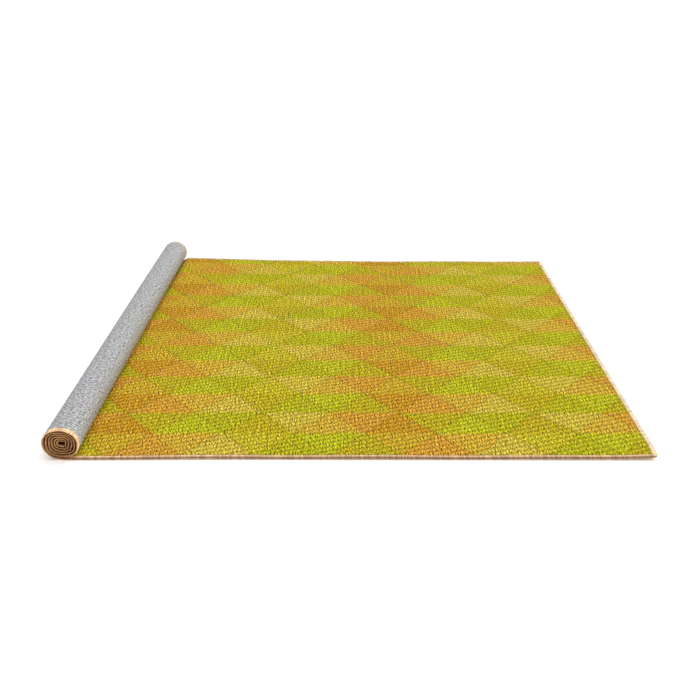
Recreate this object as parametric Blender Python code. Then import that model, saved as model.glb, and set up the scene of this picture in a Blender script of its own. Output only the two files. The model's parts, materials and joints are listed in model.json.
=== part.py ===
"""An area rug, laid out on the floor with one end rolled up.

Each piece is made flat first, with the free end at X = 0 and the other end at X = -RUG_LENGTH, its front
edge towards -Y and its underside at Z = 0. Then the far end is rolled: every piece is cut across at the
stations of one spiral, and its vertices are carried onto it, so that all the layers stay parallel.
"""

import math

import bmesh
import bpy
from mathutils import Matrix, Vector

# Driving dimensions, in metres.
RUG_LENGTH = 1.524          # along the cloth, with its rolled part laid flat
RUG_WIDTH = 0.914
FACE_THICKNESS = 0.0017
BOND_THICKNESS = 0.0004
BACKING_THICKNESS = 0.0015
CLEARANCE = 0.0003          # between pieces that touch
SERGING_WIDTH = 0.008       # from the rug's edge to where the wrapped yarn ends
SERGING_WALL = 0.0008       # of the yarn, above, below and outside the edge that it wraps
SERGING_ROUNDING = 0.0008
THREAD_DIAMETER = 0.0006
TURNS = 5.8                 # in the roll
CORE_RADIUS = 0.0035        # of the rug's middle layer where the roll begins
TURN_CLEARANCE = 0.0003     # between one turn of the roll and the next
STATIONS_PER_TURN = 20
THREAD_SIDES = 6

# What follows from them.
BOND_BOTTOM = BACKING_THICKNESS + CLEARANCE
FACE_BOTTOM = BOND_BOTTOM + BOND_THICKNESS + CLEARANCE
THICKNESS = FACE_BOTTOM + FACE_THICKNESS
STEP = SERGING_WALL + CLEARANCE                     # how far the edges are pressed in, for the yarn to lie flush
RAW_EDGE = SERGING_WALL + CLEARANCE                 # from the rug's edge to the cut edge of its layers
GROOVE = THREAD_DIAMETER + 2 * CLEARANCE            # between the yarn and the raised face
FACE_INSET = SERGING_WIDTH + GROOVE
BACKING_INSET = SERGING_WIDTH + CLEARANCE
END_RUN = RUG_WIDTH - 2 * FACE_INSET                # of what lies between the two long sides

PITCH = THICKNESS + TURN_CLEARANCE
START_RADIUS = CORE_RADIUS + TURNS * PITCH          # of the middle layer where it leaves the floor
ROLLED_LENGTH = math.pi * TURNS * (START_RADIUS + CORE_RADIUS)
FLAT_LENGTH = RUG_LENGTH - ROLLED_LENGTH
STEP_ANGLE = 2 * math.pi / STATIONS_PER_TURN
LEFT_REACH = START_RADIUS - PITCH / 4 + THICKNESS / 2
FREE_END_X = (FLAT_LENGTH + LEFT_REACH) / 2         # puts X = 0 halfway along the rug as it lies
ROLL_X = FREE_END_X - FLAT_LENGTH
ROLL_Z = START_RADIUS + THICKNESS / 2

# Each side of the rug: its name, the quarter turns from the front side, its middle, and the length of its yarn.
SIDES = (
    ("front", 0, (-RUG_LENGTH / 2, -RUG_WIDTH / 2), RUG_LENGTH),
    ("free_end", 1, (0, 0), END_RUN),
    ("back", 2, (-RUG_LENGTH / 2, RUG_WIDTH / 2), RUG_LENGTH),
    ("rolled_end", 3, (-RUG_LENGTH, 0), END_RUN),
)


def linear(channel):
    """A colour channel of 0 to 255 as the linear value that a shader takes."""
    value = channel / 255
    return value / 12.92 if value <= 0.04045 else ((value + 0.055) / 1.055) ** 2.4


def material(name, colour, roughness, sheen):
    made = bpy.data.materials.new(name)
    made.use_nodes = True
    shader = made.node_tree.nodes["Principled BSDF"]
    shader.inputs["Base Color"].default_value = (*map(linear, colour), 1)
    shader.inputs["Roughness"].default_value = roughness
    shader.inputs["Metallic"].default_value = 0
    shader.inputs["Sheen Weight"].default_value = sheen
    return made


def cut_across(shape):
    """Cuts a flat piece across where the roll begins, and at each station round it."""
    for station in range(math.ceil(TURNS * STATIONS_PER_TURN)):
        angle = station * STEP_ANGLE
        along = FLAT_LENGTH + START_RADIUS * angle - PITCH * angle ** 2 / (4 * math.pi)
        everything = shape.verts[:] + shape.edges[:] + shape.faces[:]
        bmesh.ops.bisect_plane(
            shape, geom=everything, dist=1e-7, plane_co=(-along, 0, 0), plane_no=(1, 0, 0)
        )


def rolled(point):
    """Where a point of the flat rug lies once the far end is rolled up."""
    spare = -point.x - FLAT_LENGTH
    if spare <= 0:
        return Vector((FREE_END_X + point.x, point.y, point.z))
    middle = math.sqrt(START_RADIUS ** 2 - PITCH * spare / math.pi)
    angle = (START_RADIUS - middle) * 2 * math.pi / PITCH
    radius = middle + THICKNESS / 2 - point.z
    return Vector((ROLL_X - radius * math.sin(angle), point.y, ROLL_Z - radius * math.cos(angle)))


def finished(name, shape, finish, collection):
    """Rolls up a flat piece and makes it an object."""
    bmesh.ops.recalc_face_normals(shape, faces=shape.faces)
    cut_across(shape)
    for vertex in shape.verts:
        vertex.co = rolled(vertex.co)
    mesh = bpy.data.meshes.new(name)
    shape.to_mesh(mesh)
    shape.free()
    mesh.materials.append(finish)
    mesh.shade_smooth()
    mesh.set_sharp_from_angle(angle=math.radians(30))
    collection.objects.link(bpy.data.objects.new(name, mesh))


def plate(bottom, thickness):
    """A layer as wide and long as the rug is inside its serging."""
    shape = bmesh.new()
    size = (RUG_LENGTH - 2 * RAW_EDGE, RUG_WIDTH - 2 * RAW_EDGE, thickness)
    middle = (-RUG_LENGTH / 2, 0, bottom + thickness / 2)
    bmesh.ops.create_cube(shape, size=1, matrix=Matrix.Translation(middle) @ Matrix.Diagonal((*size, 1)))
    return shape


def raise_field(shape, side, inset):
    """Raises the middle of a plate's upper side (1) or lower side (-1), and leaves its edges pressed thin."""
    shape.normal_update()
    field = max(shape.faces, key=lambda face: face.normal.z * side)
    bmesh.ops.inset_region(shape, faces=[field], thickness=inset - RAW_EDGE, use_even_offset=True)
    raised = bmesh.ops.extrude_discrete_faces(shape, faces=[field])["faces"][0]
    bmesh.ops.translate(shape, verts=raised.verts, vec=(0, 0, side * STEP))


def chenille_face():
    shape = plate(FACE_BOTTOM, FACE_THICKNESS - STEP)
    raise_field(shape, 1, FACE_INSET)
    return shape


def bond_coat():
    return plate(BOND_BOTTOM, BOND_THICKNESS)


def grey_backing():
    shape = plate(STEP, BACKING_THICKNESS - STEP)
    raise_field(shape, -1, BACKING_INSET)
    return shape


def placed(shape, turns, middle):
    """Turns what was made for the front side to another side of the rug, and puts it there."""
    turn = Matrix.Rotation(turns * math.pi / 2, 4, "Z")
    bmesh.ops.transform(shape, verts=shape.verts, matrix=Matrix.Translation((*middle, 0)) @ turn)
    return shape


def serging(run):
    """The yarn wrapped round one edge, which it takes into its slot: its rounded outer side is at Y = 0."""
    edge = SERGING_ROUNDING
    slot_top = THICKNESS - SERGING_WALL
    outline = (
        (edge, 0), (SERGING_WIDTH, 0), (SERGING_WIDTH, SERGING_WALL), (SERGING_WALL, SERGING_WALL),
        (SERGING_WALL, slot_top), (SERGING_WIDTH, slot_top), (SERGING_WIDTH, THICKNESS),
        (edge, THICKNESS), (0, THICKNESS - edge), (0, edge),
    )
    shape = bmesh.new()
    section = shape.faces.new([shape.verts.new((-run / 2, y, z)) for y, z in outline])
    grown = bmesh.ops.extrude_face_region(shape, geom=[section])["geom"]
    far = [part for part in grown if isinstance(part, bmesh.types.BMVert)]
    bmesh.ops.translate(shape, verts=far, vec=(run, 0, 0))
    return shape


def needle_thread(run):
    """The thread that lies in the groove beside the serging and holds its loops down."""
    shape = bmesh.new()
    radius = THREAD_DIAMETER / 2
    middle = Matrix.Translation((0, SERGING_WIDTH + GROOVE / 2, THICKNESS - SERGING_WALL + radius))
    bmesh.ops.create_cone(
        shape, cap_ends=True, segments=THREAD_SIDES, radius1=radius, radius2=radius, depth=run,
        matrix=middle @ Matrix.Rotation(math.pi / 2, 4, "Y"),
    )
    return shape


def main():
    for stale in list(bpy.data.objects):
        bpy.data.objects.remove(stale)
    rug = bpy.data.collections.new("partly_rolled_rug")
    bpy.context.scene.collection.children.link(rug)

    face = material("chenille", (190, 166, 50), 0.95, 0.3)
    bond = material("latex", (214, 206, 184), 0.6, 0)
    backing = material("grey_felt", (178, 177, 180), 0.97, 0.2)
    yarn = material("serging_yarn", (214, 184, 144), 0.85, 0.3)
    thread = material("sewing_thread", (150, 118, 84), 0.7, 0)

    finished("chenille_face", chenille_face(), face, rug)
    finished("bond_coat", bond_coat(), bond, rug)
    finished("grey_backing", grey_backing(), backing, rug)
    for side, turns, middle, run in SIDES:
        finished(f"{side}_serging", placed(serging(run), turns, middle), yarn, rug)
        finished(f"{side}_needle_thread", placed(needle_thread(run), turns, middle), thread, rug)


main()
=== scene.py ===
import json
import math

import bmesh
import bpy
import numpy as np
from bpy.props import FloatProperty, FloatVectorProperty, IntProperty, PointerProperty
from mathutils import Matrix, Vector

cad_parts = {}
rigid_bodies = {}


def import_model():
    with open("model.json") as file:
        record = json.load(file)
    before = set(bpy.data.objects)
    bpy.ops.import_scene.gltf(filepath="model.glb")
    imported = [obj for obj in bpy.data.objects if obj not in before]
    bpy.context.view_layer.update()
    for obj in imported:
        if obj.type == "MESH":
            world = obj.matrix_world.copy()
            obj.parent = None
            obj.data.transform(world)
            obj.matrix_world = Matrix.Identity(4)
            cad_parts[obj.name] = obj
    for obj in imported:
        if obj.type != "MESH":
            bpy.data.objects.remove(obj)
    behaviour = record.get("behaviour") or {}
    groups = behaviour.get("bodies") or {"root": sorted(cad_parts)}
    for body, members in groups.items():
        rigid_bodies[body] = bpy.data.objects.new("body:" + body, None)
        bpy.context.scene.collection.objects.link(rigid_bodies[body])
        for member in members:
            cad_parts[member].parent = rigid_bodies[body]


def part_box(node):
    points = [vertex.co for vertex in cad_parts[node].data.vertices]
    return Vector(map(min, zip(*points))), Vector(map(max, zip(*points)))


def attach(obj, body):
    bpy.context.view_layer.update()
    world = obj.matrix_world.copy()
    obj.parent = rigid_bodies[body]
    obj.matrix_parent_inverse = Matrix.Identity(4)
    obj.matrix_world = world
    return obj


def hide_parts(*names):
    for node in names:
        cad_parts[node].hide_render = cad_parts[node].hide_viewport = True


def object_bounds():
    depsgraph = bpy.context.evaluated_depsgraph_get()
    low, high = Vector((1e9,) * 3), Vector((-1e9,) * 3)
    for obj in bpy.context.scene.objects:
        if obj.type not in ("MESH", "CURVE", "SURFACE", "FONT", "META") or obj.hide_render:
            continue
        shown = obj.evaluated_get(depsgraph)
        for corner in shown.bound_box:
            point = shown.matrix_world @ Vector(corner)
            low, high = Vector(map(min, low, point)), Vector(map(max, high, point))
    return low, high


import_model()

bl_info = {
    "name": "Part-rolled area rug",
    "version": (1, 0, 0),
    "blender": (4, 5, 0),
    "location": "View3D > Sidebar > Rug",
    "description": "Makes the cloth, the wrapped edges and the stitches of a rug that lies part-rolled",
    "category": "Object",
}

WRAP_SEED, STITCH_SEED = 7, 17
TURN = 2 * math.pi

# What the frame says of the rug, in metres.
LOW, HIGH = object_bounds()
WIDTH = HIGH.y - LOW.y
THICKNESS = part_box("free_end_serging")[1].z
FACE_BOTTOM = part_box("chenille_face")[0].z
BOND_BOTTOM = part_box("bond_coat")[0].z
TURN_GAP = 0.0003
CORE_RADIUS = 0.0035
PITCH = THICKNESS + TURN_GAP
START_RADIUS = (HIGH.z - THICKNESS + PITCH / 2) / 2     # of the middle layer where it leaves the floor
TURNS = (START_RADIUS - CORE_RADIUS) / PITCH
ROLL_X = LOW.x + START_RADIUS - PITCH / 4 + THICKNESS / 2
ROLL_Z = START_RADIUS + THICKNESS / 2
FLAT_LENGTH = HIGH.x - ROLL_X
ROLLED_LENGTH = math.pi * TURNS * (START_RADIUS + CORE_RADIUS)
LENGTH = FLAT_LENGTH + ROLLED_LENGTH

# How the layers end at the rug's edges.
RAW_EDGE = 0.0011           # from the wrapped edge to the cut edge of the layers
PRESSED = 0.0011            # how far the yarn presses the edges in
STEP_BEFORE = 0.0006        # from a raised field's edge to the lines of the mesh on each side of its step
STEP_AFTER = 0.0018

FLOAT_STEP = 0.172          # of a float, from one column of the weave to the next

UV_NAME = "cloth"           # U is metres along the cloth from its free end, V is metres towards the back
TINT = "tint"               # of one wrap of yarn or one stitch, from 0 to 1
REACH = "reach"             # metres along one wrap of yarn
ROUND = "round"             # turns round one wrap of yarn


def linear(*channels):
    """A colour of 0 to 255 as the linear values that a shader takes."""
    shares = [channel / 255 for channel in channels]
    return tuple(c / 12.92 if c <= 0.04045 else ((c + 0.055) / 1.055) ** 2.4 for c in shares)


def length_property(name, description, default):
    return FloatProperty(
        name=name, description=description, default=default,
        min=0, precision=5, subtype="DISTANCE", unit="LENGTH",
    )


def colour_property(name, description, *channels):
    return FloatVectorProperty(
        name=name, description=description, default=linear(*channels),
        min=0, max=1, size=3, subtype="COLOR",
    )


class RugSizes(bpy.types.PropertyGroup):
    core_lift: length_property("Core lift", "How far the roll's core has risen above its middle", 0.0036)
    core_shift: length_property("Core shift", "How far the roll's core has moved to the free end", 0.0016)
    ripple: length_property("Ripple", "Height of the crumples in the roll's inner turns", 0.0011)
    settling: FloatProperty(
        name="Settling", description="How much smaller the roll has become under its own weight",
        default=0.083, min=0,
    )
    back_rise: length_property(
        "Back rise", "How far the cloth stands off the floor beside the roll, at the back", 0.012
    )
    roll_shift: length_property("Roll shift", "How far the roll has crept towards the free end", 0.0013)
    forward: length_property("Forward", "How far the roll's front end sticks out past the front edge", 0.003)
    corner_draw: length_property("Corner draw", "How far the free end is drawn in at its front corner", 0.005)
    corner_lift: length_property(
        "Corner lift", "How far the front corner of the free end stands off the floor", 0.004
    )
    column: length_property("Column", "From one column of the weave to the next, along the rug", 0.00574)
    float_length: length_property("Float", "From one raised stitch to the next in a column", 0.0122)
    relief: length_property("Relief", "Height of the raised stitches", 0.0005)
    triangle_base: length_property("Triangle base", "Length of the triangles along the rug", 0.11471)
    triangle_start: FloatProperty(
        name="Triangle start", description="Where the triangles begin at the free end, in triangles",
        default=3.462,
    )
    triangle_row: length_property("Triangle row", "Depth of a row of the pattern's triangles", 0.06711)
    row_start: FloatProperty(
        name="Row start", description="Where the rows of triangles begin at the back edge, in rows",
        default=-1.537,
    )
    serging: length_property("Serging", "How far the wrapped yarn reaches in from the edge", 0.008)
    wrap_pitch: length_property("Wrap pitch", "From one wrap of the edge yarn to the next", 0.0025)
    wrap_width: length_property("Wrap width", "Width of one wrap, which presses into its neighbours", 0.0031)
    yarn: length_property("Yarn", "Thickness of one wrap of yarn", 0.0011)
    stitch_pitch: length_property("Stitch pitch", "From one stitch of the needle thread to the next", 0.0027)
    thread: length_property("Thread", "Diameter of the needle thread", 0.0006)
    stations: IntProperty(name="Stations", description="Steps in one turn of the roll", default=48, min=12)


class RugColours(bpy.types.PropertyGroup):
    olive: colour_property("Olive", "First colour of the triangles", 184, 167, 26)
    dark_orange: colour_property("Dark orange", "Second colour of the triangles", 193, 144, 31)
    pale_orange: colour_property("Pale orange", "Second colour, in the rows that are paler", 198, 163, 40)
    orange: colour_property("Orange", "Third colour of the triangles", 204, 152, 48)
    tan_orange: colour_property("Tan orange", "Fourth colour of the triangles", 204, 167, 50)
    sand: colour_property("Sand", "Fifth colour of the triangles", 202, 179, 61)
    dark_olive: colour_property("Dark olive", "Sixth colour of the triangles", 187, 167, 27)
    olive_yellow: colour_property("Olive yellow", "Sixth colour, in the rows that are paler", 193, 178, 36)
    green: colour_property("Green", "Seventh colour of the triangles", 179, 173, 22)
    green_yellow: colour_property("Green yellow", "Eighth colour of the triangles", 184, 181, 26)
    backing: colour_property("Backing", "Of the felt on the underside", 181, 181, 182)
    serging: colour_property("Serging", "Of the yarn wrapped round the edges", 238, 206, 166)
    # Partly painted shade: the thread's brown is made darker to carry the shadow in the groove beside the
    # yarn.
    thread: colour_property("Thread", "Of the needle thread beside the yarn", 120, 84, 48)
    latex: colour_property("Latex", "Of the coat that bonds the two layers", 214, 206, 184)


def sizes():
    return bpy.context.scene.rug_sizes


def colours():
    return bpy.context.scene.rug_colours


# ---------------------------------------------------------------- how the cloth lies

def smooth(low, high, value):
    """0 below low, 1 above high, and a smooth step between them."""
    share = np.clip((value - low) / (high - low), 0, 1)
    return share * share * (3 - 2 * share)


CORNER_RADIUS = 0.008

# How far the cloth's unevenness reaches, in metres.
RISE_REACH = 0.06           # of the steep part of the rise beside the roll
CORNER_REACH = 0.05         # of the lifted corner, along the rug
DRAWN_REACH = 0.1           # of the corner that is drawn in, along the rug
FORWARD_REACH = 0.3         # from the roll to where the front edge runs straight
FRONT_REACH = 0.045         # of what the roll's front end does, into the roll
BACK_REACH = 0.15           # of what its back end does
SLACK = 0.0004              # height of the small waves in the flat part

# How the roll is pressed. Depth in it is 0 at the outermost layer and 1 at the middle.
OUTER_PRESS = 0.86          # share of its thickness that the cloth keeps in the outermost turn
INNER_PRESS = 0.62          # and in the turns inside it
TOP_SPARE = 0.22            # more than that, on top of each turn
SQUARENESS = 0.045          # share of the radius by which the settled turns are out of round
CORE_SPREAD = 0.22          # how much wider the core is than a round one
WANDER = 0.00025            # metres, of the turns' slow unevenness
DRIFT = 0.0004              # metres, of the core's from one end to the other
CRUMPLES = 15               # in a whole turn, if they went all the way round
CRUMPLED_FROM = 4.95, 5.15  # the angle in a turn through which the crumples begin
CRUMPLED_TO = 5.95, 6.2     # and the one through which they end


def rounded_corners(along, across):
    """Draws the cloth's square corners in to round ones."""
    from_end = np.minimum(along, LENGTH - along)
    from_side = WIDTH / 2 - np.abs(across)
    u, v = np.maximum(CORNER_RADIUS - from_end, 0), np.maximum(CORNER_RADIUS - from_side, 0)
    both = (u > 0) & (v > 0)
    shrink = np.where(both, np.maximum(u, v) / np.maximum(np.hypot(u, v), 1e-9), 1)
    moved = np.where(both, u * (1 - shrink), 0)
    along = along + np.where(along < LENGTH / 2, moved, -moved)
    return along, across - np.sign(across) * np.where(both, v * (1 - shrink), 0)


def floor_rise(along, across):
    """How far the flat part stands off the floor."""
    size = sizes()
    away = FLAT_LENGTH - along
    steep, gentle = 0.55 * np.exp(-away / RISE_REACH), 0.5 * smooth(0.52, 0.02, away)
    near_roll = smooth(0.012, 0.036, away) * (steep + gentle)
    near_roll = near_roll * smooth(0.2, 0.5, across / WIDTH)
    corner = np.exp(-along / CORNER_REACH) * smooth(-0.38, -0.5, across / WIDTH)
    slack = SLACK * (1 + np.sin(along * 23 + across * 5)) * smooth(0.3, 0.5, np.abs(across) / WIDTH)
    return size.back_rise * near_roll + size.corner_lift * corner + slack * smooth(0.02, 0.08, away)


def pressed_thickness(turn, angle):
    """The share of its thickness that the cloth keeps, so many turns and so great an angle into the roll."""
    outermost = 1 - smooth(0.7, 1.05, turn)
    outer = 1 - smooth(0, 0.4, turn) * (1 - OUTER_PRESS)
    on_top = np.maximum(0, -np.cos(angle))
    return outermost * outer + (1 - outermost) * (INNER_PRESS + TOP_SPARE * on_top ** 2)


def crumples(angle, depth, across):
    """The crumples low down in the inner turns, from -1 to 1."""
    in_turn = angle % TURN
    here = smooth(*CRUMPLED_FROM, in_turn) * (1 - smooth(*CRUMPLED_TO, in_turn)) * smooth(0.3, 0.45, depth)
    return here * np.cos(CRUMPLES * angle + 0.35 * np.sin(2 * TURN * across / WIDTH))


def lie(along, across, height):
    """Where points of the flat cloth lie, from their place along and across it and above its underside."""
    size = sizes()
    along, across = rounded_corners(along, across)
    spare = np.clip(along - FLAT_LENGTH, 0, ROLLED_LENGTH)
    middle = np.sqrt(START_RADIUS ** 2 - PITCH * spare / math.pi)
    angle = (START_RADIUS - middle) * TURN / PITCH
    turn = angle / TURN
    depth = (START_RADIUS - middle) / START_RADIUS
    inner = 1 - (middle / START_RADIUS) ** 1.5

    # The roll, with its turns settled out of round and its core risen and crumpled.
    settled = smooth(0.0, 0.25, depth)
    square = 1 - SQUARENESS * settled * np.cos(4 * angle)
    wander = WANDER * settled * np.sin(3 * angle + 1.7 * turn + 9 * across)
    reach = middle * square + size.ripple * crumples(angle, depth, across) + wander
    reach = reach + (THICKNESS / 2 - height) * pressed_thickness(turn, angle)
    drift = DRIFT * np.sin(7 * across + 2) * inner
    widened = 1 + CORE_SPREAD * smooth(0.72, 0.86, depth)
    x_rolled = ROLL_X - reach * np.sin(angle) * widened + size.core_shift * inner + drift
    z_rolled = ROLL_Z - reach * np.cos(angle) + size.core_lift * inner

    # The whole roll has sunk and crept. Its front end is flatter and wider, and its back end a little wider.
    front = np.exp(-(across + WIDTH / 2) / FRONT_REACH)
    back = np.exp(-(WIDTH / 2 - across) / BACK_REACH)
    off_floor = smooth(0, 1.2, angle)
    narrow = 1 - size.settling * 0.75 * (1 - 0.9 * front - 0.5 * back) * off_floor
    low = 1 - size.settling * (1 + 0.35 * front) * off_floor
    shift = size.roll_shift * (1 + 1.4 * back) * off_floor

    flat = along <= FLAT_LENGTH
    drawn = size.corner_draw * front * np.exp(-along / DRAWN_REACH)
    forward = size.forward * smooth(FLAT_LENGTH - FORWARD_REACH, FLAT_LENGTH, along) * (0.5 - across / WIDTH)
    x = np.where(flat, HIGH.x - along - drawn, ROLL_X + (x_rolled - ROLL_X) * narrow + shift)
    z = np.where(flat, height + floor_rise(along, across), z_rolled * low)
    return np.stack([x, across - forward, z], axis=-1)


def stitch_height(along, across):
    """The weave's raised stitches, from 0 to 1: columns across the rug, with their floats in steps."""
    size = sizes()
    column = np.floor(along / size.column)
    phase = (column + 0.5) * FLOAT_STEP + across / size.float_length
    ridge = np.abs(np.sin(math.pi * along / size.column))
    return ridge * (0.55 + 0.45 * np.cos(TURN * phase))


# ---------------------------------------------------------------- meshes

def coordinates(mesh):
    found = np.empty(len(mesh.vertices) * 3, np.float32)
    mesh.vertices.foreach_get("co", found)
    return found.reshape(-1, 3).astype(float)


def piece(name, shape, finish, collection_name="rug_looks"):
    """Makes an object of a bmesh, whose X is along the flat cloth, Y across it and Z above its underside."""
    mesh = bpy.data.meshes.new(name)
    shape.to_mesh(mesh)
    shape.free()
    mesh.materials.append(finish)
    collection = bpy.data.collections.get(collection_name) or bpy.data.collections.new(collection_name)
    if collection.name not in bpy.context.scene.collection.children:
        bpy.context.scene.collection.children.link(collection)
    made = bpy.data.objects.new(name, mesh)
    collection.objects.link(made)
    return made


def lay(made):
    """Moves a piece from the flat cloth to where it lies, and keeps the flat places as its UV map."""
    mesh = made.data
    mesh.flip_normals()     # the cloth is measured against X, so that laying it mirrors it
    flat = coordinates(mesh)
    corner = np.empty(len(mesh.loops), np.int32)
    mesh.loops.foreach_get("vertex_index", corner)
    layer = mesh.uv_layers.new(name=UV_NAME)
    layer.data.foreach_set("uv", flat[corner][:, :2].astype(np.float32).ravel())
    mesh.vertices.foreach_set("co", lie(flat[:, 0], flat[:, 1], flat[:, 2]).astype(np.float32).ravel())
    mesh.update()
    mesh.shade_smooth()


def spread(*stretches):
    """Positions through several stretches of (start, end, steps), with the shared ends once."""
    runs = [np.linspace(start, end, steps + 1)[:-1] for start, end, steps in stretches]
    return np.append(np.concatenate(runs), stretches[-1][1])


def roll_stations():
    """Places along the cloth at equal angles round the roll."""
    steps = math.ceil(TURNS * sizes().stations)
    angles = np.arange(1, steps) * TURN / sizes().stations
    return FLAT_LENGTH + START_RADIUS * angles - PITCH * angles ** 2 / (4 * math.pi)


def layer_shape(along, across, bottom, top):
    """A closed flat solid, cut at the given places, with the heights of its two sides from two functions."""
    shape = bmesh.new()
    bmesh.ops.create_grid(shape, x_segments=len(along) - 1, y_segments=len(across) - 1, size=0.5)
    shape.verts.ensure_lookup_table()
    upper = list(shape.verts)
    for vertex in upper:
        column = round((vertex.co.x + 0.5) * (len(along) - 1))
        row = round((vertex.co.y + 0.5) * (len(across) - 1))
        vertex.co = (along[column], across[row], 0)
    grown = bmesh.ops.extrude_face_region(shape, geom=shape.faces[:], use_keep_orig=True)["geom"]
    lifted = [part for part in grown if isinstance(part, bmesh.types.BMVert)]
    for vertices, height in ((upper, bottom), (lifted, top)):
        flat = np.array([vertex.co for vertex in vertices])
        for vertex, z in zip(vertices, height(flat[:, 0], flat[:, 1])):
            vertex.co.z = z
    return shape


def from_edge(along, across):
    """How far a place on the cloth is from its nearest edge."""
    sides = np.minimum(WIDTH / 2 - np.abs(across), along)
    return np.minimum(sides, LENGTH - along)


def margins(low, high, inset, steps):
    """Positions from low to high, with extra ones where the margin is pressed thin."""
    near, far = low + inset, high - inset
    return spread(
        (low + RAW_EDGE, near - STEP_BEFORE, 2), (near - STEP_BEFORE, near + STEP_AFTER, 3),
        (near + STEP_AFTER, far - STEP_AFTER, steps),
        (far - STEP_AFTER, far + STEP_BEFORE, 3), (far + STEP_BEFORE, high - RAW_EDGE, 2),
    )


def cloth_stations(inset, flat_steps):
    """Places along the cloth: the free end's margin, the flat part, the roll and the rolled end's margin."""
    flat = margins(0, LENGTH, inset, flat_steps)
    flat = flat[flat < FLAT_LENGTH - 1e-4]
    end = margins(0, LENGTH, inset, 1)[-5:]
    rolled = roll_stations()
    rolled = rolled[rolled < end[0] - 5e-4]
    return np.concatenate([flat, [FLAT_LENGTH], rolled, end])


def filled(value):
    """A height function that is the same everywhere."""
    return lambda along, across: np.full(len(along), value)


# ---------------------------------------------------------------- materials

SHINE = 0.06                # of the fibres and the latex
SHEEN_ROUGHNESS = 0.6
COLOURS_ROUND = 8           # colours in the pattern's order before it starts again
ROWS_ROUND = 6              # rows of triangles before the paler rows come round again
FRAY = 0.0035               # metres round its own place from which a stitch takes its colour
PLIES = 700.0               # that pass one place along a metre of the twisted edge yarn
WHITE, BLACK = (1, 1, 1), (0, 0, 0)


class Finish:
    """A material's node tree, with short calls for the nodes that its patterns need."""

    def __init__(self, name, roughness, sheen=0.0):
        self.material = bpy.data.materials.new(name)
        self.material.use_nodes = True
        self.tree = self.material.node_tree
        self.shader = self.tree.nodes["Principled BSDF"]
        self.shader.inputs["Roughness"].default_value = roughness
        self.shader.inputs["Specular IOR Level"].default_value = SHINE
        self.shader.inputs["Sheen Weight"].default_value = sheen
        self.shader.inputs["Sheen Roughness"].default_value = SHEEN_ROUGHNESS

    def put(self, value, socket):
        if isinstance(value, bpy.types.NodeSocket):
            self.tree.links.new(value, socket)
        else:
            socket.default_value = value

    def math(self, operation, *values):
        node = self.tree.nodes.new("ShaderNodeMath")
        node.operation = operation
        for value, socket in zip(values, node.inputs):
            self.put(value, socket)
        return node.outputs[0]

    def fit(self, value, low, high, to_low, to_high):
        """Carries a value from one range to another, and holds it there."""
        node = self.tree.nodes.new("ShaderNodeMapRange")
        for entry, socket in zip((value, low, high, to_low, to_high), node.inputs):
            self.put(entry, socket)
        return node.outputs[0]

    def mix(self, blend, factor, first, second):
        node = self.tree.nodes.new("ShaderNodeMix")
        node.data_type = "RGBA"
        node.blend_type = blend
        self.put(factor, node.inputs["Factor"])
        self.put(first, node.inputs["A"])
        self.put(second, node.inputs["B"])
        return node.outputs["Result"]

    def point(self, x, y, z=0.0):
        node = self.tree.nodes.new("ShaderNodeCombineXYZ")
        for value, socket in zip((x, y, z), node.inputs):
            self.put(value, socket)
        return node.outputs[0]

    def cloth(self):
        """How far along and across the flat cloth a point is."""
        place = self.tree.nodes.new("ShaderNodeUVMap")
        place.uv_map = UV_NAME
        split = self.tree.nodes.new("ShaderNodeSeparateXYZ")
        self.tree.links.new(place.outputs[0], split.inputs[0])
        return split.outputs[0], split.outputs[1]

    def objects(self):
        return self.tree.nodes.new("ShaderNodeTexCoord").outputs["Object"]

    def attribute(self, name):
        node = self.tree.nodes.new("ShaderNodeAttribute")
        node.attribute_name = name
        return node.outputs["Fac"]

    def noise(self, place, scale, detail=2.0, roughness=0.5):
        node = self.tree.nodes.new("ShaderNodeTexNoise")
        self.put(place, node.inputs["Vector"])
        node.inputs["Scale"].default_value = scale
        node.inputs["Detail"].default_value = detail
        node.inputs["Roughness"].default_value = roughness
        return node.outputs["Fac"]

    def random(self, place):
        """One random number for each whole place."""
        node = self.tree.nodes.new("ShaderNodeTexWhiteNoise")
        node.noise_dimensions = "3D"
        self.put(place, node.inputs["Vector"])
        return node.outputs["Value"]

    def ramp(self, value, stops, stepped=False):
        node = self.tree.nodes.new("ShaderNodeValToRGB")
        node.color_ramp.interpolation = "CONSTANT" if stepped else "LINEAR"
        while len(node.color_ramp.elements) < len(stops):
            node.color_ramp.elements.new(1)
        for element, (place, colour) in zip(node.color_ramp.elements, stops):
            element.position = place
            element.color = (*colour, 1)
        self.put(value, node.inputs[0])
        return node.outputs[0]

    def bump(self, height, distance, strength=1.0):
        node = self.tree.nodes.new("ShaderNodeBump")
        node.inputs["Strength"].default_value = strength
        node.inputs["Distance"].default_value = distance
        self.put(height, node.inputs["Height"])
        self.put(node.outputs[0], self.shader.inputs["Normal"])

    def colour(self, value):
        self.put(value, self.shader.inputs["Base Color"])
        return self.material


def stitches(finish, along, across):
    """The face's columns, the floats along them, and how high the yarn stands, from 0 to 1."""
    size, do = sizes(), finish.math
    columns = do("DIVIDE", along, size.column)
    column = do("FLOOR", columns)
    ridge = do("ABSOLUTE", do("SINE", do("MULTIPLY", columns, math.pi)))
    jitter = finish.random(finish.point(column, 3.0))
    steps = do("MULTIPLY", do("ADD", column, 0.5), FLOAT_STEP)
    floats = do("ADD", do("DIVIDE", across, size.float_length), steps)
    floats = do("ADD", floats, do("MULTIPLY", jitter, 0.05))
    wave = do("COSINE", do("MULTIPLY", floats, TURN))
    raised = do("MULTIPLY", finish.fit(ridge, 0.0, 1.0, 0.4, 0.92), finish.fit(wave, -1.0, 1.0, 0.1, 0.9))
    return column, floats, raised


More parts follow.
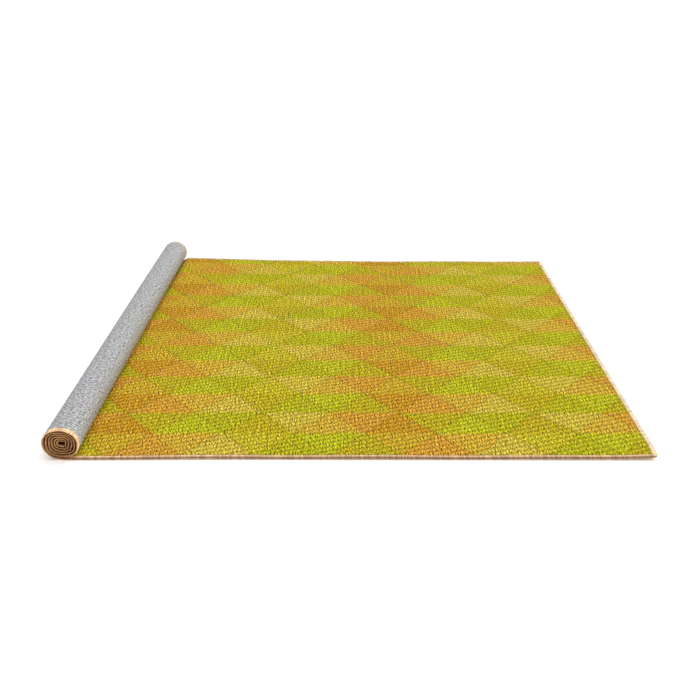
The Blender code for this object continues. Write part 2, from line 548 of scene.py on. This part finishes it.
def triangles(finish, along, across):
    """The eight colours of the triangles, with a thin darker line along their sides."""
    size, tone, do = sizes(), colours(), finish.math
    down = do("DIVIDE", do("SUBTRACT", WIDTH / 2, across), size.triangle_row)
    down = do("ADD", down, size.row_start)
    row = do("FLOOR", down)
    odd = do("FLOORED_MODULO", row, 2.0)
    left = do("SUBTRACT", size.triangle_start, do("DIVIDE", along, size.triangle_base))
    left = do("SUBTRACT", left, do("MULTIPLY", odd, 0.5))
    half = do("MULTIPLY", do("SUBTRACT", down, row), 0.5)
    rising, falling = do("ADD", left, half), do("SUBTRACT", left, half)

    # The colours follow one another to the right in odd rows, and to the left in even ones.
    index = do("ADD", do("FLOOR", rising), do("FLOOR", falling))
    on_odd, on_even = do("ADD", index, 3.0), do("MULTIPLY", index, -1.0)
    signed = do("MULTIPLY", do("SUBTRACT", 1.0, odd), on_even)
    signed = do("ADD", do("MULTIPLY", odd, on_odd), signed)
    shade = do("FLOORED_MODULO", signed, float(COLOURS_ROUND))
    shade = do("DIVIDE", do("ADD", shade, 0.5), float(COLOURS_ROUND))
    common = tone.orange, tone.tan_orange, tone.sand
    deep = tone.olive, tone.dark_orange, *common, tone.dark_olive, tone.green, tone.green_yellow
    pale = tone.olive, tone.pale_orange, *common, tone.olive_yellow, tone.green, tone.green_yellow
    places = [count / COLOURS_ROUND for count in range(COLOURS_ROUND)]
    deep_rows, pale_rows = (
        finish.ramp(shade, list(zip(places, map(tuple, palette))), stepped=True) for palette in (deep, pale)
    )
    place = do("ADD", do("FLOORED_MODULO", row, float(ROWS_ROUND)), 0.5)
    place = do("DIVIDE", place, float(ROWS_ROUND))
    order = (0, WHITE), (1, BLACK), (2, WHITE), (3, BLACK), (5, WHITE)
    paler = finish.ramp(place, [(count / ROWS_ROUND, level) for count, level in order], stepped=True)
    pattern = finish.mix("MIX", paler, deep_rows, pale_rows)
    for place in (rising, falling):
        side = do("MULTIPLY", do("ABSOLUTE", do("SUBTRACT", do("FRACT", place), 0.5)), 2.0)
        line = finish.fit(side, 0.92, 0.99, 0.0, 0.25)
        pattern = finish.mix("MULTIPLY", line, pattern, (*linear(170, 150, 90), 1))
    return pattern


def chenille_weave():
    """The triangle pattern, broken up by the stitches that carry it."""
    size = sizes()
    finish = Finish("chenille_weave", 0.95, 0.04)
    along, across = finish.cloth()
    do = finish.math
    column, floats, raised = stitches(finish, along, across)
    stitch = do("FLOOR", floats)

    # Each stitch takes its colour from a place a little off its own, so the triangles' edges are ragged.
    fray = finish.random(finish.point(column, stitch, 5.0))
    ragged = do("MULTIPLY", do("SUBTRACT", fray, 0.5), FRAY)
    pattern = triangles(finish, do("ADD", along, ragged), do("ADD", across, ragged))

    # The yarns' own colours: streaks along the rows, then stitch by stitch, then fibre by fibre; the painted
    # light and shade below go with them.
    streak = finish.noise(finish.point(do("MULTIPLY", along, 14.0), do("MULTIPLY", across, 190.0)), 1.0, 2.0)
    red, green, blue = (
        finish.fit(streak, 0.35, 0.65, low, high) for low, high in ((0.96, 1.04), (1.02, 0.98), (0.94, 1.06))
    )
    pattern = finish.mix("MULTIPLY", 1.0, pattern, finish.point(red, green, blue))
    fleck_along = do("FLOOR", do("DIVIDE", along, size.column / 3))
    fleck_across = do("FLOOR", do("MULTIPLY", floats, 3.0))
    fleck, neighbour = (
        finish.random(finish.point(do("ADD", fleck_along, step), fleck_across, 1.0)) for step in (0.0, 1.0)
    )
    fleck = finish.fit(do("SUBTRACT", fleck, neighbour), -1.0, 1.0, 0.02, 1.85)
    alternate = finish.fit(do("FLOORED_MODULO", column, 2.0), 0.0, 1.0, 0.95, 1.05)
    each = finish.fit(finish.random(finish.point(column, stitch)), 0.0, 1.0, 0.93, 1.07)
    grain = finish.noise(finish.point(along, across), 700.0, 2.0, 0.6)
    fibres = finish.fit(grain, 0.3, 0.7, 0.88, 1.12)
    # Painted shade: the face is painted dark inside the roll.
    painted_face_roll_shade = finish.fit(along, FLAT_LENGTH + 0.02, FLAT_LENGTH + 0.06, 1.0, 0.2)
    # Painted light and shade: the raised stitches are painted lighter and the hollows between them darker.
    level = finish.fit(raised, 0.0, 1.0, 0.72, 1.56)
    for share in (fibres, fleck, alternate, each, painted_face_roll_shade):
        level = do("MULTIPLY", level, share)
    pattern = finish.mix("MULTIPLY", 1.0, pattern, finish.point(level, level, level))

    finish.bump(do("ADD", raised, do("MULTIPLY", grain, 0.35)), 0.0007, 0.5)
    return finish.colour(pattern)


def mottled_felt():
    """A pale felt, with flecks drawn out along the cloth and faint clouds of green and mauve."""
    finish = Finish("mottled_felt", 0.95, 0.08)
    along, across = finish.cloth()
    fleck = finish.noise(finish.point(finish.math("MULTIPLY", along, 0.5), across), 400.0, 3.0, 0.7)
    fine = finish.noise(finish.point(along, across, 2.0), 1100.0, 2.0, 0.6)
    cloud = finish.noise(finish.point(along, across, 4.0), 22.0, 2.0)
    base = tuple(colours().backing)
    dark, pale = tuple(c * 0.14 for c in base), tuple(min(c * 2.0, 1) for c in base)
    felt = finish.ramp(fleck, [(0.34, dark), (0.5, base), (0.66, pale)])
    greenish, mauve = (*linear(215, 228, 214), 1), (*linear(226, 218, 232), 1)
    felt = finish.mix("MULTIPLY", finish.fit(cloud, 0.4, 0.7, 0.0, 0.35), felt, greenish)
    felt = finish.mix("MULTIPLY", finish.fit(cloud, 0.55, 0.3, 0.0, 0.35), felt, mauve)
    finish.bump(finish.math("ADD", fleck, finish.math("MULTIPLY", fine, 0.6)), 0.0009, 0.6)
    return finish.colour(felt)


def twisted_yarn(name, side_light_and_shade):
    """A twisted yarn with its plies drawn round it, with its side's painted light and shade: darker where it
    turns round the front and back edges, lighter all over on the free end, darker all over on the rolled end.
    """
    finish = Finish(name, 0.8, 0.1)
    do = finish.math
    base, edge, rolled_bend_shade = (
        (*(min(c * share, 1) for c, share in zip(colours().serging, shares)), 1) for shares in side_light_and_shade
    )
    reach = do("SUBTRACT", finish.attribute(REACH), wrap_middle())
    beyond = do("MAXIMUM", do("MULTIPLY", reach, -1.0), do("MULTIPLY", reach, 2.0))
    # Where the yarn turns round the edge it takes its side's bend shares: painted shade on the front and
    # back, painted light on the free end.
    turned = finish.fit(beyond, 0.0013, 0.0035, 0.0, 1.0)

    # Painted shade: the yarn is painted dark inside the roll, on the face's side from the start, on the
    # felt's after one turn.
    along = finish.cloth()[0]
    one_turn = FLAT_LENGTH + math.pi * (2 * START_RADIUS - PITCH)
    face_side = do("LESS_THAN", reach, 0.0)
    covered = do("MULTIPLY", face_side, finish.fit(along, FLAT_LENGTH + 0.01, FLAT_LENGTH + 0.03, 0.0, 1.0))
    painted_roll_shade = do("MAXIMUM", covered, finish.fit(along, one_turn - 0.02, one_turn, 0.0, 1.0))
    rolled = finish.fit(along, FLAT_LENGTH - 0.01, FLAT_LENGTH + 0.03, 0.0, 1.0)
    bend = finish.mix("MIX", rolled, edge, rolled_bend_shade)
    yarn = finish.mix("MIX", painted_roll_shade, base, (*linear(116, 70, 32), 1))
    yarn = finish.mix("MIX", turned, bend, yarn)

    twist = do("ADD", do("MULTIPLY", finish.attribute(REACH), PLIES), finish.attribute(ROUND))
    plies = do("ABSOLUTE", do("SINE", do("MULTIPLY", twist, math.pi)))
    fibre = finish.noise(finish.objects(), 1500.0, 2.0, 0.6)
    level = finish.fit(plies, 0.0, 1.0, 0.84, 1.06)
    for share in (
        finish.fit(fibre, 0.3, 0.7, 0.9, 1.1),
        finish.fit(finish.attribute(TINT), 0.0, 1.0, 0.74, 1.24),
        # Painted light: the yarn in the roll is painted lighter.
        finish.fit(rolled, 0.0, 1.0, 1.0, 1.22),
    ):
        level = do("MULTIPLY", level, share)
    yarn = finish.mix("MULTIPLY", 1.0, yarn, finish.point(level, level, level))
    finish.bump(do("ADD", plies, do("MULTIPLY", fibre, 0.5)), 0.0003, 0.7)
    return finish.colour(yarn)


def shaded(base, share):
    return tuple(c * share for c in base)


def stitch_thread():
    """A plain brown thread, whose colour is partly painted shade."""
    finish = Finish("stitch_thread", 0.6, 0.1)
    base = tuple(colours().thread)
    shade = finish.noise(finish.objects(), 900.0, 1.0)
    finish.bump(shade, 0.0001, 0.5)
    return finish.colour(finish.ramp(shade, [(0.3, shaded(base, 0.8)), (0.7, shaded(base, 1.2))]))


def latex_film():
    """A dried coat of latex, a little cloudy."""
    finish = Finish("latex_film", 0.55)
    base = tuple(colours().latex)
    cloud = finish.noise(finish.objects(), 120.0, 3.0)
    finish.bump(cloud, 0.0002, 0.5)
    return finish.colour(finish.ramp(cloud, [(0.3, shaded(base, 0.88)), (0.7, base)]))


# Shares of the yarn's red, green and blue where it lies flat, where it turns, and where it turns in the roll:
# painted shade on the bends of the front and back and all over the rolled end, painted light all over the
# free end.
PAINTED_BEND_SHADE, PAINTED_ROLL_SHADE = (0.42, 0.34, 0.28), (0.68, 0.49, 0.31)
PAINTED_END_LIGHT = (1.17, 1.33, 1.5)
PAINTED_LIGHT_AND_SHADE = {
    "front": ((1.12, 1.06, 1.0), PAINTED_BEND_SHADE, PAINTED_ROLL_SHADE),
    "free_end": (PAINTED_END_LIGHT, PAINTED_END_LIGHT, PAINTED_END_LIGHT),
    "back": ((1.0, 1.0, 1.0), (0.8, 0.74, 0.66), PAINTED_ROLL_SHADE),
    "rolled_end": (PAINTED_ROLL_SHADE, PAINTED_ROLL_SHADE, PAINTED_ROLL_SHADE),
}


def only_once(name, make, *details):
    """The material of that name, made if it isn't there yet."""
    return bpy.data.materials.get(name) or make(*details)


# ---------------------------------------------------------------- the pieces

COARSE = 12                 # one in this many of the face's lines is kept where the weave doesn't show
MARGIN_LINES = 6            # lines of the mesh in the pressed margin, which are all kept
LINE_SPACING = 0.0045       # between the face's lines across the rug
EDGE_GAP = 0.0012           # from the yarn to the raised face


class RUG_OT_face(bpy.types.Operator):
    """Weaves the patterned face, with its stitches standing up"""
    bl_idname = "rug.face"
    bl_label = "Patterned face"

    def execute(self, context):
        size = sizes()
        inset = size.serging + EDGE_GAP
        along = cloth_stations(inset, round((LENGTH - 2 * inset) / (size.column / 2)))
        across = margins(-WIDTH / 2, WIDTH / 2, inset, round(WIDTH / LINE_SPACING))

        def upper(s, y):
            field = smooth(inset - 0.0008, inset + 0.0016, from_edge(s, y))
            weave = size.relief * stitch_height(s, y) * (1 - smooth(-0.004, 0, s - FLAT_LENGTH))
            return THICKNESS - PRESSED + field * (PRESSED - size.relief * 0.5 + weave)

        shape = layer_shape(along, across, filled(FACE_BOTTOM - TURN_GAP / 2), upper)
        lines = across[::COARSE], across[:MARGIN_LINES], across[-MARGIN_LINES:]
        kept = set(np.round(np.concatenate(lines), 6))

        def hidden(edge):
            one, other = edge.verts
            if abs(one.co.y - other.co.y) > 1e-6 or round(one.co.y, 6) in kept:
                return False
            below = one.co.z < FACE_BOTTOM + 1e-6 and other.co.z < FACE_BOTTOM + 1e-6
            return below or min(one.co.x, other.co.x) > FLAT_LENGTH - 1e-6

        spare = [edge for edge in shape.edges if hidden(edge)]
        bmesh.ops.dissolve_edges(shape, edges=spare, use_verts=True)
        bmesh.ops.recalc_face_normals(shape, faces=shape.faces)
        made = piece("patterned_face", shape, only_once("chenille_weave", chenille_weave))
        lay(made)
        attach(made, "root")
        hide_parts("chenille_face")
        return {"FINISHED"}


class RUG_OT_bond_coat(bpy.types.Operator):
    """Spreads the latex that bonds the face to the backing"""
    bl_idname = "rug.bond_coat"
    bl_label = "Bond coat"

    def execute(self, context):
        along = cloth_stations(sizes().serging, 60)
        across = spread((-WIDTH / 2 + RAW_EDGE, WIDTH / 2 - RAW_EDGE, 24))
        low, high = BOND_BOTTOM - TURN_GAP / 4, FACE_BOTTOM - TURN_GAP * 3 / 4
        shape = layer_shape(along, across, filled(low), filled(high))
        bmesh.ops.recalc_face_normals(shape, faces=shape.faces)
        made = piece("latex_coat", shape, only_once("latex_film", latex_film))
        lay(made)
        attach(made, "root")
        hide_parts("bond_coat")
        return {"FINISHED"}


class RUG_OT_backing(bpy.types.Operator):
    """Lays the felt of the underside, which shows on the outside of the roll"""
    bl_idname = "rug.backing"
    bl_label = "Felt backing"

    def execute(self, context):
        size = sizes()
        inset = size.serging + TURN_GAP
        along = cloth_stations(inset, 150)
        across = margins(-WIDTH / 2, WIDTH / 2, inset, 110)

        def lower(s, y):
            return PRESSED * (1 - smooth(inset - 0.0008, inset + 0.0014, from_edge(s, y)))

        shape = layer_shape(along, across, lower, filled(BOND_BOTTOM - TURN_GAP / 2))
        bmesh.ops.recalc_face_normals(shape, faces=shape.faces)
        made = piece("felt_backing", shape, only_once("mottled_felt", mottled_felt))
        lay(made)
        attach(made, "root")
        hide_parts("grey_backing")
        return {"FINISHED"}


BEND_STEPS = 4              # round the rug's edge, in one wrap
WRAP_SIDES = 6
WRAP_SLANT = 0.0009         # how far each wrap leans along the edge, on each side of it
TUCK_BEFORE, TUCK_AFTER = 0.0006, 0.0003    # round its reach, where a wrap dips into the cloth and ends
TUCKED = 1.15               # times its half thickness, the depth of a wrap's middle where it dips


def wrap_middle():
    """How far along one wrap of yarn the middle of its bend is."""
    size = sizes()
    return size.serging - THICKNESS / 2 + math.pi * (THICKNESS - size.yarn) / 4


def wrap_shape():
    """One wrap of yarn round an edge at Y = 0: over the top, round the edge, and back underneath."""
    size = sizes()
    thick, reach = size.yarn / 2, size.serging
    bend = THICKNESS / 2 - thick
    dip, tip = reach - TUCK_BEFORE, reach + TUCK_AFTER

    # Places of the yarn's middle, each with its share of the yarn's whole size.
    path = [
        (tip, THICKNESS - PRESSED - thick, 0.5),
        (dip, THICKNESS - thick * TUCKED, 0.9),
        (reach * 0.4, THICKNESS - thick, 1),
    ]
    for step in range(BEND_STEPS + 1):
        angle = math.pi * step / BEND_STEPS
        path.append((THICKNESS / 2 - bend * math.sin(angle), THICKNESS / 2 + bend * math.cos(angle), 1))
    path += [(dip, thick * TUCKED, 0.9), (tip, PRESSED + thick, 0.5)]
    points = [Vector((0, y, z)) for y, z, _ in path]

    shape = bmesh.new()
    reach_layer = shape.verts.layers.float.new(REACH)
    round_layer = shape.verts.layers.float.new(ROUND)
    bmesh.ops.create_circle(shape, cap_ends=True, segments=WRAP_SIDES, radius=1)
    bmesh.ops.scale(shape, verts=shape.verts, vec=(size.wrap_width / 2, thick, 1))
    for count, vertex in enumerate(shape.verts):
        vertex[round_layer] = count / WRAP_SIDES
    cap = shape.faces[:][0]
    here, travelled = Matrix.Identity(4), 0.0
    for place, (point, (_, _, scale)) in enumerate(zip(points, path)):
        ahead = points[min(place + 1, len(points) - 1)] - points[max(place - 1, 0)]
        side = Vector((1, 0, 0))
        up = ahead.cross(side).normalized()
        turn = Matrix((side, up, side.cross(up))).transposed().to_4x4()
        slant = Matrix.Translation((WRAP_SLANT * (THICKNESS / 2 - point.z) / THICKNESS * 2, 0, 0))
        there = Matrix.Translation(point) @ slant @ turn @ Matrix.Diagonal((scale, scale, 1, 1))
        if place:
            grown = bmesh.ops.extrude_face_region(shape, geom=[cap])["geom"]
            cap = next(part for part in grown if isinstance(part, bmesh.types.BMFace))
            travelled += (point - points[place - 1]).length
        for vertex in cap.verts:
            vertex[reach_layer] = travelled
        bmesh.ops.transform(shape, verts=cap.verts, matrix=there @ here.inverted())
        here = there
    bmesh.ops.recalc_face_normals(shape, faces=shape.faces)
    if shape.calc_volume(signed=True) < 0:
        bmesh.ops.reverse_faces(shape, faces=shape.faces)
    return shape


SWELLING = 0.05             # share by which the copies' widths differ
WRAP_JITTER = 0.00012       # by which the wraps' and the stitches' places differ
STITCH_JITTER = 0.0001
CORNER_RAISE = 0.0006       # how far the ends' yarn is raised over the sides' at a corner
THREAD_GAP = 0.0006         # from the yarn to the middle of the needle thread
END_GAP = 0.0015            # from the corner's yarn to the first stitch


def repeated(shape, places, jitter, seed):
    """Copies a shape to each place along X. Each copy has its own tint, and a small shift and swelling."""
    own = shape.verts[:] + shape.edges[:] + shape.faces[:]
    for _ in places[1:]:
        bmesh.ops.duplicate(shape, geom=own)
    mesh = bpy.data.meshes.new("repeated")
    shape.to_mesh(mesh)
    shape.free()
    chance = np.random.default_rng(seed)
    each = len(mesh.vertices) // len(places)
    points = coordinates(mesh).reshape(len(places), each, 3)
    swell = 1 + SWELLING * chance.standard_normal((len(places), 1))
    moved = places + jitter * chance.standard_normal(len(places))
    points[:, :, 0] = points[:, :, 0] * swell + moved[:, None]
    mesh.vertices.foreach_set("co", points.astype(np.float32).ravel())
    tint = mesh.attributes.new(TINT, "FLOAT", "POINT")
    tint.data.foreach_set("value", np.repeat(chance.random(len(places)), each).astype(np.float32))
    copies = bmesh.new()
    copies.from_mesh(mesh)
    bpy.data.meshes.remove(mesh)
    return copies


SIDES = ("front", "free_end", "back", "rolled_end")


def along_side(side, places, inward, height):
    """Flat coordinates from places along one side, how far in from its edge they are, and their height.

    It mirrors what it places.
    """
    if side in ("front", "back"):
        sign = -1 if side == "front" else 1
        along = places if side == "back" else LENGTH - places
        return np.stack([along, sign * (WIDTH / 2 - inward), height], axis=-1)
    edge = inward if side == "free_end" else LENGTH - inward
    across = places - WIDTH / 2 if side == "free_end" else WIDTH / 2 - places
    return np.stack([edge, across, height], axis=-1)


class RUG_OT_serging(bpy.types.Operator):
    """Wraps the yarn round the rug's four edges"""
    bl_idname = "rug.serging"
    bl_label = "Serged edges"

    def execute(self, context):
        size = sizes()
        for number, side in enumerate(SIDES):
            run = LENGTH if side in ("front", "back") else WIDTH
            count = round(run / size.wrap_pitch)
            places = (np.arange(count) + 0.5) * run / count
            shape = repeated(wrap_shape(), places, WRAP_JITTER, WRAP_SEED + number)
            flat = np.array([vertex.co for vertex in shape.verts])
            height = flat[:, 2]
            if run == WIDTH:
                from_corner = np.minimum(flat[:, 0], run - flat[:, 0])
                corner = 1 - smooth(size.serging - 0.001, size.serging + 0.002, from_corner)
                height = height + corner * np.where(height > THICKNESS / 2, CORNER_RAISE, 0)
            placed = along_side(side, np.clip(flat[:, 0], 0, run), flat[:, 1], height)
            for vertex, place in zip(shape.verts, placed):
                vertex.co = place
            bmesh.ops.reverse_faces(shape, faces=shape.faces)
            yarn = f"{side}_yarn"
            made = piece(f"{side}_wrapped_edge", shape, only_once(yarn, twisted_yarn, yarn, PAINTED_LIGHT_AND_SHADE[side]))
            lay(made)
            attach(made, "root")
            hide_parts(f"{side}_serging")
        return {"FINISHED"}


class RUG_OT_needle_thread(bpy.types.Operator):
    """Sews the thread that holds the wrapped yarn down"""
    bl_idname = "rug.needle_thread"
    bl_label = "Needle thread"

    def execute(self, context):
        size = sizes()
        for number, side in enumerate(SIDES):
            ends = size.serging + END_GAP
            run = LENGTH if side in ("front", "back") else WIDTH
            count = round((run - 2 * ends) / size.stitch_pitch)
            places = ends + (np.arange(count) + 0.5) * (run - 2 * ends) / count
            shape = bmesh.new()
            bmesh.ops.create_uvsphere(shape, u_segments=6, v_segments=4, radius=0.5)
            quarter_turn = Matrix.Rotation(math.pi / 2, 4, "Y")
            stretch = Matrix.Diagonal((size.stitch_pitch * 0.92, size.thread, size.thread, 1))
            bmesh.ops.transform(shape, verts=shape.verts, matrix=stretch @ quarter_turn)
            shape = repeated(shape, places, STITCH_JITTER, STITCH_SEED + number)
            flat = np.array([vertex.co for vertex in shape.verts])
            height = flat[:, 2] + THICKNESS - PRESSED + size.thread / 2
            placed = along_side(side, flat[:, 0], flat[:, 1] + size.serging + THREAD_GAP, height)
            for vertex, place in zip(shape.verts, placed):
                vertex.co = place
            bmesh.ops.reverse_faces(shape, faces=shape.faces)
            made = piece(f"{side}_stitches", shape, only_once("stitch_thread", stitch_thread))
            lay(made)
            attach(made, "root")
            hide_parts(f"{side}_needle_thread")
        return {"FINISHED"}


class RUG_OT_declare(bpy.types.Operator):
    """Takes no step: it declares nothing, and the pieces stay as they are"""
    bl_idname = "rug.declare"
    bl_label = "Declare the sheets"

    def execute(self, context):
        return {"FINISHED"}


# ---------------------------------------------------------------- the stage

CAMERA_PLACE = Vector((0.0004, -1.5414, 0.7004))
CAMERA_PITCH = math.radians(25.32)      # below the horizontal
CAMERA_YAW = math.radians(0.172)        # towards the roll
CAMERA_LENS = 42.79
LIGHT_FROM = Vector((0.4, 0.14, 0.92))
LIGHT_POWER, WORLD_POWER = 2.2, 0.38
FLOOR_HALF = 60             # metres from its middle to its sides
FLOOR_GAP = 0.0002          # from the floor to the lowest of the rug
FLOOR_GLOW = 0.3            # of the floor round the rug, which keeps it pale


class RUG_OT_stage(bpy.types.Operator):
    """Puts a pale floor, soft light and a camera round the rug"""
    bl_idname = "rug.stage"
    bl_label = "Stage"

    def execute(self, context):
        scene = context.scene
        shape = bmesh.new()
        bmesh.ops.create_grid(shape, x_segments=1, y_segments=1, size=FLOOR_HALF)
        bmesh.ops.translate(shape, verts=shape.verts, vec=(0, 0, -FLOOR_GAP))
        floor_finish = Finish("floor", 0.9)
        floor_finish.shader.inputs["Base Color"].default_value = (0.95, 0.95, 0.95, 1)
        floor_finish.shader.inputs["Emission Color"].default_value = (1, 1, 1, 1)
        split = floor_finish.tree.nodes.new("ShaderNodeSeparateXYZ")
        floor_finish.put(floor_finish.objects(), split.inputs[0])
        beyond_x, beyond_y = (
            floor_finish.math("SUBTRACT", floor_finish.math("ABSOLUTE", place), edge)
            for place, edge in ((split.outputs[0], HIGH.x - 0.012), (split.outputs[1], HIGH.y))
        )
        outside = floor_finish.math("MAXIMUM", beyond_x, beyond_y)
        glow = floor_finish.fit(outside, -0.006, 0.004, 0.0, FLOOR_GLOW)
        floor_finish.put(glow, floor_finish.shader.inputs["Emission Strength"])
        floor = piece("floor", shape, floor_finish.material, "rug_stage")

        world = bpy.data.worlds.new("soft_studio")
        world.use_nodes = True
        world.node_tree.nodes["Background"].inputs["Color"].default_value = (1, 1, 1, 1)
        world.node_tree.nodes["Background"].inputs["Strength"].default_value = WORLD_POWER
        scene.world = world
        light = bpy.data.lights.new("overhead", "SUN")
        light.energy = LIGHT_POWER
        light.angle = math.radians(70)
        overhead = bpy.data.objects.new("overhead", light)
        overhead.rotation_euler = (-LIGHT_FROM).to_track_quat("-Z", "Y").to_euler()
        scene.collection.objects.link(overhead)

        lens = bpy.data.cameras.new("camera")
        lens.lens = CAMERA_LENS
        lens.clip_end = 200
        camera = bpy.data.objects.new("camera", lens)
        camera.location = CAMERA_PLACE
        camera.rotation_euler = (math.pi / 2 - CAMERA_PITCH, 0, CAMERA_YAW)
        scene.collection.objects.link(camera)
        scene.camera = camera
        scene.view_settings.view_transform = "Standard"
        return {"FINISHED"}


# ---------------------------------------------------------------- panel and registration

OPERATORS = (
    RUG_OT_stage, RUG_OT_backing, RUG_OT_bond_coat, RUG_OT_face,
    RUG_OT_serging, RUG_OT_needle_thread, RUG_OT_declare,
)


class RUG_PT_sidebar(bpy.types.Panel):
    """Lists the rug's sizes, colours and pieces"""
    bl_label = "Part-rolled rug"
    bl_idname = "RUG_PT_sidebar"
    bl_space_type = "VIEW_3D"
    bl_region_type = "UI"
    bl_category = "Rug"

    def draw(self, context):
        for group in (context.scene.rug_sizes, context.scene.rug_colours):
            box = self.layout.box()
            for name in group.__annotations__:
                box.prop(group, name)
        for operator in OPERATORS:
            self.layout.operator(operator.bl_idname)


CLASSES = (RugSizes, RugColours, *OPERATORS, RUG_PT_sidebar)


def register():
    for added in CLASSES:
        bpy.utils.register_class(added)
    bpy.types.Scene.rug_sizes = PointerProperty(type=RugSizes)
    bpy.types.Scene.rug_colours = PointerProperty(type=RugColours)


def unregister():
    del bpy.types.Scene.rug_colours
    del bpy.types.Scene.rug_sizes
    for added in reversed(CLASSES):
        bpy.utils.unregister_class(added)


def main():
    register()
    bpy.ops.rug.stage()
    bpy.ops.rug.backing()
    bpy.ops.rug.bond_coat()
    bpy.ops.rug.face()
    bpy.ops.rug.serging()
    bpy.ops.rug.needle_thread()
    bpy.ops.rug.declare()


if __name__ == "__main__":
    main()
